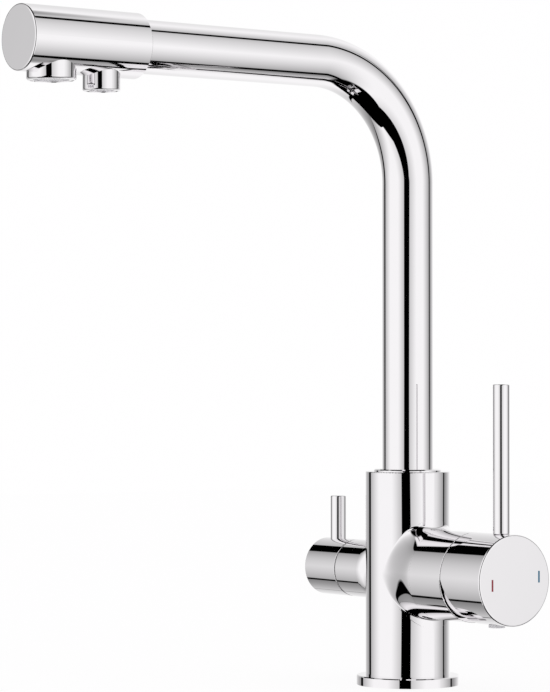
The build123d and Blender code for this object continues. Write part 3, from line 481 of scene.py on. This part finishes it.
def blend_row(turn):
    """Points of the blend at one turn round the branch, from the column to the branch, and known normals."""
    out = Vector((0, -math.cos(turn), math.sin(turn)))
    along = Vector((1, 0, 0))
    ball = ball_radius(turn)
    start, skin = on_skin(turn, ball)
    lead = (skin * skin.dot(out) - out).normalized()
    end = Vector((BLEND_END, 0, BRANCH_Z)) + out * BRANCH_R
    span = (end - start).length
    start_pull = span * (PULL + PULL_FRONT * abs(math.cos(turn)) ** FRONT_FADE
                         + PULL_TOP * math.sin(turn) ** TOP_FADE)
    end_pull = span * END_PULL
    outer = max(CUT_BALL, ball) + LAP
    row, known = [], {}
    for step in range(SKIN_STEPS):
        at, normal = on_skin(turn, outer + (ball - outer) * step / SKIN_STEPS)
        known[step] = normal
        row.append(at + normal * SKIN)
    known[SKIN_STEPS] = skin
    for step in range(STEPS + 1):
        t = step / STEPS
        row.append(start * (1 - t) ** 3 + (start + lead * start_pull) * (3 * t * (1 - t) ** 2)
                   + (end - along * end_pull) * (3 * t * t * (1 - t)) + end * t ** 3)
    row.append(end + along * LAP + out * SKIN)
    known[len(row) - 2] = known[len(row) - 1] = out
    return row, known, out


def add_blend(points, faces, normals):
    """Adds the blend's rows to the body's points, faces and corner normals."""
    rows = [blend_row(2 * math.pi * turn / TURNS) for turn in range(TURNS)]
    first, width = len(points), len(rows[0][0])
    row_normals = []
    for turn, (row, known, out) in enumerate(rows):
        before, after = rows[turn - 1][0], rows[(turn + 1) % TURNS][0]
        own = []
        for step in range(width):
            if step in known:
                own.append(known[step])
                continue
            normal = (row[step + 1] - row[step - 1]).cross(after[step] - before[step]).normalized()
            own.append(normal if normal.dot(own[-1]) > 0 else -normal)
        row_normals.append(own)
        points.extend(row)
    for turn in range(TURNS):
        following = (turn + 1) % TURNS
        for step in range(width - 1):
            corners = [(turn, step), (following, step), (following, step + 1), (turn, step + 1)]
            a, b, c = (points[first + t * width + s] for t, s in corners[:3])
            if (b - a).cross(c - a).dot(row_normals[turn][step]) < 0:
                corners.reverse()
            faces.append([first + t * width + s for t, s in corners])
            normals.extend(row_normals[t][s] for t, s in corners)


points, faces, normals = exact_faces(nodes["tap_body"], outside_root)
add_blend(points, faces, normals)
body_mesh = bpy.data.meshes.new("tap_body_shown")
body_mesh.from_pydata(points, [], faces)
body_mesh.shade_smooth()
body_mesh.normals_split_custom_set(normals)
body_mesh.materials.append(chrome)
body = bpy.data.objects.new("tap_body_shown", body_mesh)
bpy.context.scene.collection.objects.link(body)
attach(body, "column")
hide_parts("tap_body")
print("cast the body from", len(faces), "faces")

# %% [markdown]
# ## The studio tent
#
# Chrome has no colour of its own: it shows the room. Bright metal is photographed inside a tent of white
# panels, and the dark lines that draw its form are the seams between the panels. The tent is large
# compared with the tap, so it is painted on the world. Three panels stand round it, each brightest in its
# middle and darker towards the seams, by an amount that changes from eye level up and down. The seams run
# up between them: a wide one beside the camera, one on the left and one behind. A seam changes its place
# and its width evenly with height, so one that gapes only low down starts with a half width below nothing.
# Above and below the ring of panels it is black. The camera itself sees plain white.

# %% World
PANEL_LIGHT = 246          # light in the middle of a panel, on a scale to 255
FALL_POWER = 1.25          # how the light falls off from there towards a seam: above 1 is hollow
SCREEN_POWER = 2.24        # from that scale to the light itself
PANEL_TURN = 36.0          # degrees above or below eye level where the fall-off has changed over
FALL_WIDENS = 1.25         # how many times as far it reaches well above and below eye level
SEAM_EDGE = 1.0            # softness of a seam's edge, degrees
OPENS = (57.0, 61.0)       # degrees above and below eye level where the panels end
# Seams: centre and half width at eye level, degrees from -Y towards +X, and how both change per degree
# upwards and downwards
SEAMS = [
    (46.3, 11.3, (0.28, 0.28), (-0.14, 0.28)),        # beside the camera
    (-76.0, 6.2, (-0.153, 0.14), (0.29, -0.128)),     # on the left
    (167.0, 2.6, (-0.31, 0.058), (-0.31, 0.058)),     # behind, leaning
    (167.0, 4.1, (0.0, -0.09), (0.0, -0.7)),          # behind, upright, gone by 46 degrees up
    (-105.5, -4.0, (0.0, 0.0), (0.0, 0.13)),          # on the left, from 31 degrees down
    (20.0, -45.0, (0.0, 0.0), (0.0, 1.3)),            # in front, from 35 degrees down
    (-20.0, -765.0, (0.0, 0.0), (0.0, 15.0)),         # the whole front, from 51 degrees down
]
# Fall-off of the panels that meet at each of the first three seams, before it and past it: how much darker
# they are there at eye level, well above it and well below it, and over how many degrees at eye level
FALLS = [
    (((85, 45, 45), 40), ((70, 45, 65), 45)),
    (((105, 75, 120), 60), ((80, 130, 80), 42)),
    (((95, 65, 90), 43), ((125, 65, 125), 45)),
]
TENT_STRENGTH = 1.12
CAMERA_WHITE = (1.0, 0.996, 1.0, 1.0)


def scaled(tree, value, start, stop, low=0.0, high=1.0):
    """A value moved from one range to another, held at its ends."""
    node = add_node(tree, "ShaderNodeMapRange", {"Value": value}, in_1=start, in_2=stop, in_3=low, in_4=high)
    return node.outputs["Result"]


def along_seam(tree, at_eye_level, rate_up, rate_down, up, down):
    """A seam's centre or half width at any height."""
    change = math_node(tree, "ADD", math_node(tree, "MULTIPLY", up, rate_up),
                       math_node(tree, "MULTIPLY", down, rate_down))
    return math_node(tree, "ADD", change, at_eye_level)


def by_height(tree, values, above, below):
    """A value that turns from the one at eye level into those above and below."""
    at_eye_level, higher, lower = values
    return along_seam(tree, at_eye_level, higher - at_eye_level, lower - at_eye_level, above, below)


world = bpy.data.worlds.new("tent")
bpy.context.scene.world = world
world.use_nodes = True
sky = world.node_tree
sky.nodes.clear()
direction = add_node(sky, "ShaderNodeTexCoord").outputs["Generated"]
split = add_node(sky, "ShaderNodeSeparateXYZ", {0: direction})
turn = math_node(sky, "ARCTAN2", split.outputs["X"], math_node(sky, "MULTIPLY", split.outputs["Y"], -1.0))
azimuth = math_node(sky, "MULTIPLY", turn, 180 / math.pi)
rise = math_node(sky, "MULTIPLY", math_node(sky, "ARCSINE", split.outputs["Z"]), 180 / math.pi)
up = math_node(sky, "MAXIMUM", rise, 0.0)
down = math_node(sky, "MAXIMUM", math_node(sky, "MULTIPLY", rise, -1.0), 0.0)
above = scaled(sky, up, 0.0, PANEL_TURN)
below = scaled(sky, down, 0.0, PANEL_TURN)

widening = scaled(sky, math_node(sky, "ABSOLUTE", rise), 0.0, PANEL_TURN, 1.0, FALL_WIDENS)
shown = PANEL_LIGHT
for (centre, _, rates_up, rates_down), sides in zip(SEAMS, FALLS):
    middle = along_seam(sky, centre, rates_up[0], rates_down[0], up, down)
    past_it = math_node(sky, "FLOORED_MODULO", math_node(sky, "SUBTRACT", azimuth, middle), 360.0)
    before_it = math_node(sky, "SUBTRACT", 360.0, past_it)
    for away, (darker_by, reach) in zip((before_it, past_it), sides):
        used = math_node(sky, "DIVIDE", away, math_node(sky, "MULTIPLY", widening, reach))
        share = math_node(sky, "POWER", math_node(sky, "SUBTRACT", 1.0, used, clamp=True), FALL_POWER)
        fall = math_node(sky, "MULTIPLY", share, by_height(sky, darker_by, above, below))
        shown = math_node(sky, "SUBTRACT", shown, fall)
light = math_node(sky, "POWER", math_node(sky, "DIVIDE", shown, 255.0), SCREEN_POWER)
for centre, half, rates_up, rates_down in SEAMS:
    middle = along_seam(sky, centre, rates_up[0], rates_down[0], up, down)
    width = along_seam(sky, half, rates_up[1], rates_down[1], up, down)
    off = math_node(sky, "ABSOLUTE", math_node(sky, "SUBTRACT", azimuth, middle))
    past = math_node(sky, "DIVIDE", math_node(sky, "SUBTRACT", off, width), SEAM_EDGE)
    light = math_node(sky, "MULTIPLY", light, math_node(sky, "ADD", past, 0.5, clamp=True))
light = math_node(sky, "MULTIPLY", light, scaled(sky, math_node(sky, "ABSOLUTE", rise), *OPENS, 1.0, 0.0))

tent_light = add_node(sky, "ShaderNodeBackground", {"Color": light}, in_Strength=TENT_STRENGTH)
plain_light = add_node(sky, "ShaderNodeBackground", in_Color=CAMERA_WHITE, in_Strength=1.0)
path = add_node(sky, "ShaderNodeLightPath")
chosen = add_node(sky, "ShaderNodeMixShader",
                  {0: path.outputs["Is Glossy Ray"], 1: plain_light.outputs[0], 2: tent_light.outputs[0]})
add_node(sky, "ShaderNodeOutputWorld", {"Surface": chosen.outputs[0]})
print("tent painted with", len(SEAMS), "seams and a fall-off beside", len(FALLS), "of them")

# %% [markdown]
# ## The floor
#
# The tap stands on a plain white sweep. It is as bright as the tent, so it has no edge in the picture, and
# it keeps the soft shadow that the base throws. The mirror finish sees the tent and not the sheet.

# %% Floor
FLOOR_HALF = 2.5
GLOW_SHARE = 0.9                       # how much of the sheet's look is its own light, for the camera
floor_mesh = bpy.data.meshes.new("floor")
corners = [(-FLOOR_HALF, -FLOOR_HALF, 0), (FLOOR_HALF, -FLOOR_HALF, 0),
           (FLOOR_HALF, FLOOR_HALF, 0), (-FLOOR_HALF, FLOOR_HALF, 0)]
floor_mesh.from_pydata(corners, [], [(0, 1, 2, 3)])
floor = bpy.data.objects.new("floor", floor_mesh)
bpy.context.scene.collection.objects.link(floor)
floor_material = bpy.data.materials.new("white_sweep")
floor_material.use_nodes = True
tree = floor_material.node_tree
tree.nodes.clear()
paper = add_node(tree, "ShaderNodeBsdfDiffuse", in_Color=linear("#FAFAFA"))
glow = add_node(tree, "ShaderNodeEmission", in_Color=CAMERA_WHITE, in_Strength=1.0)
floor_path = add_node(tree, "ShaderNodeLightPath")
share = math_node(tree, "MULTIPLY", floor_path.outputs["Is Camera Ray"], GLOW_SHARE)
sheet = add_node(tree, "ShaderNodeMixShader", {0: share, 1: paper.outputs[0], 2: glow.outputs[0]})
add_node(tree, "ShaderNodeOutputMaterial", {"Surface": sheet.outputs[0]})
floor_mesh.materials.append(floor_material)
floor.visible_glossy = False
print("floor laid,", 2 * FLOOR_HALF, "m wide")
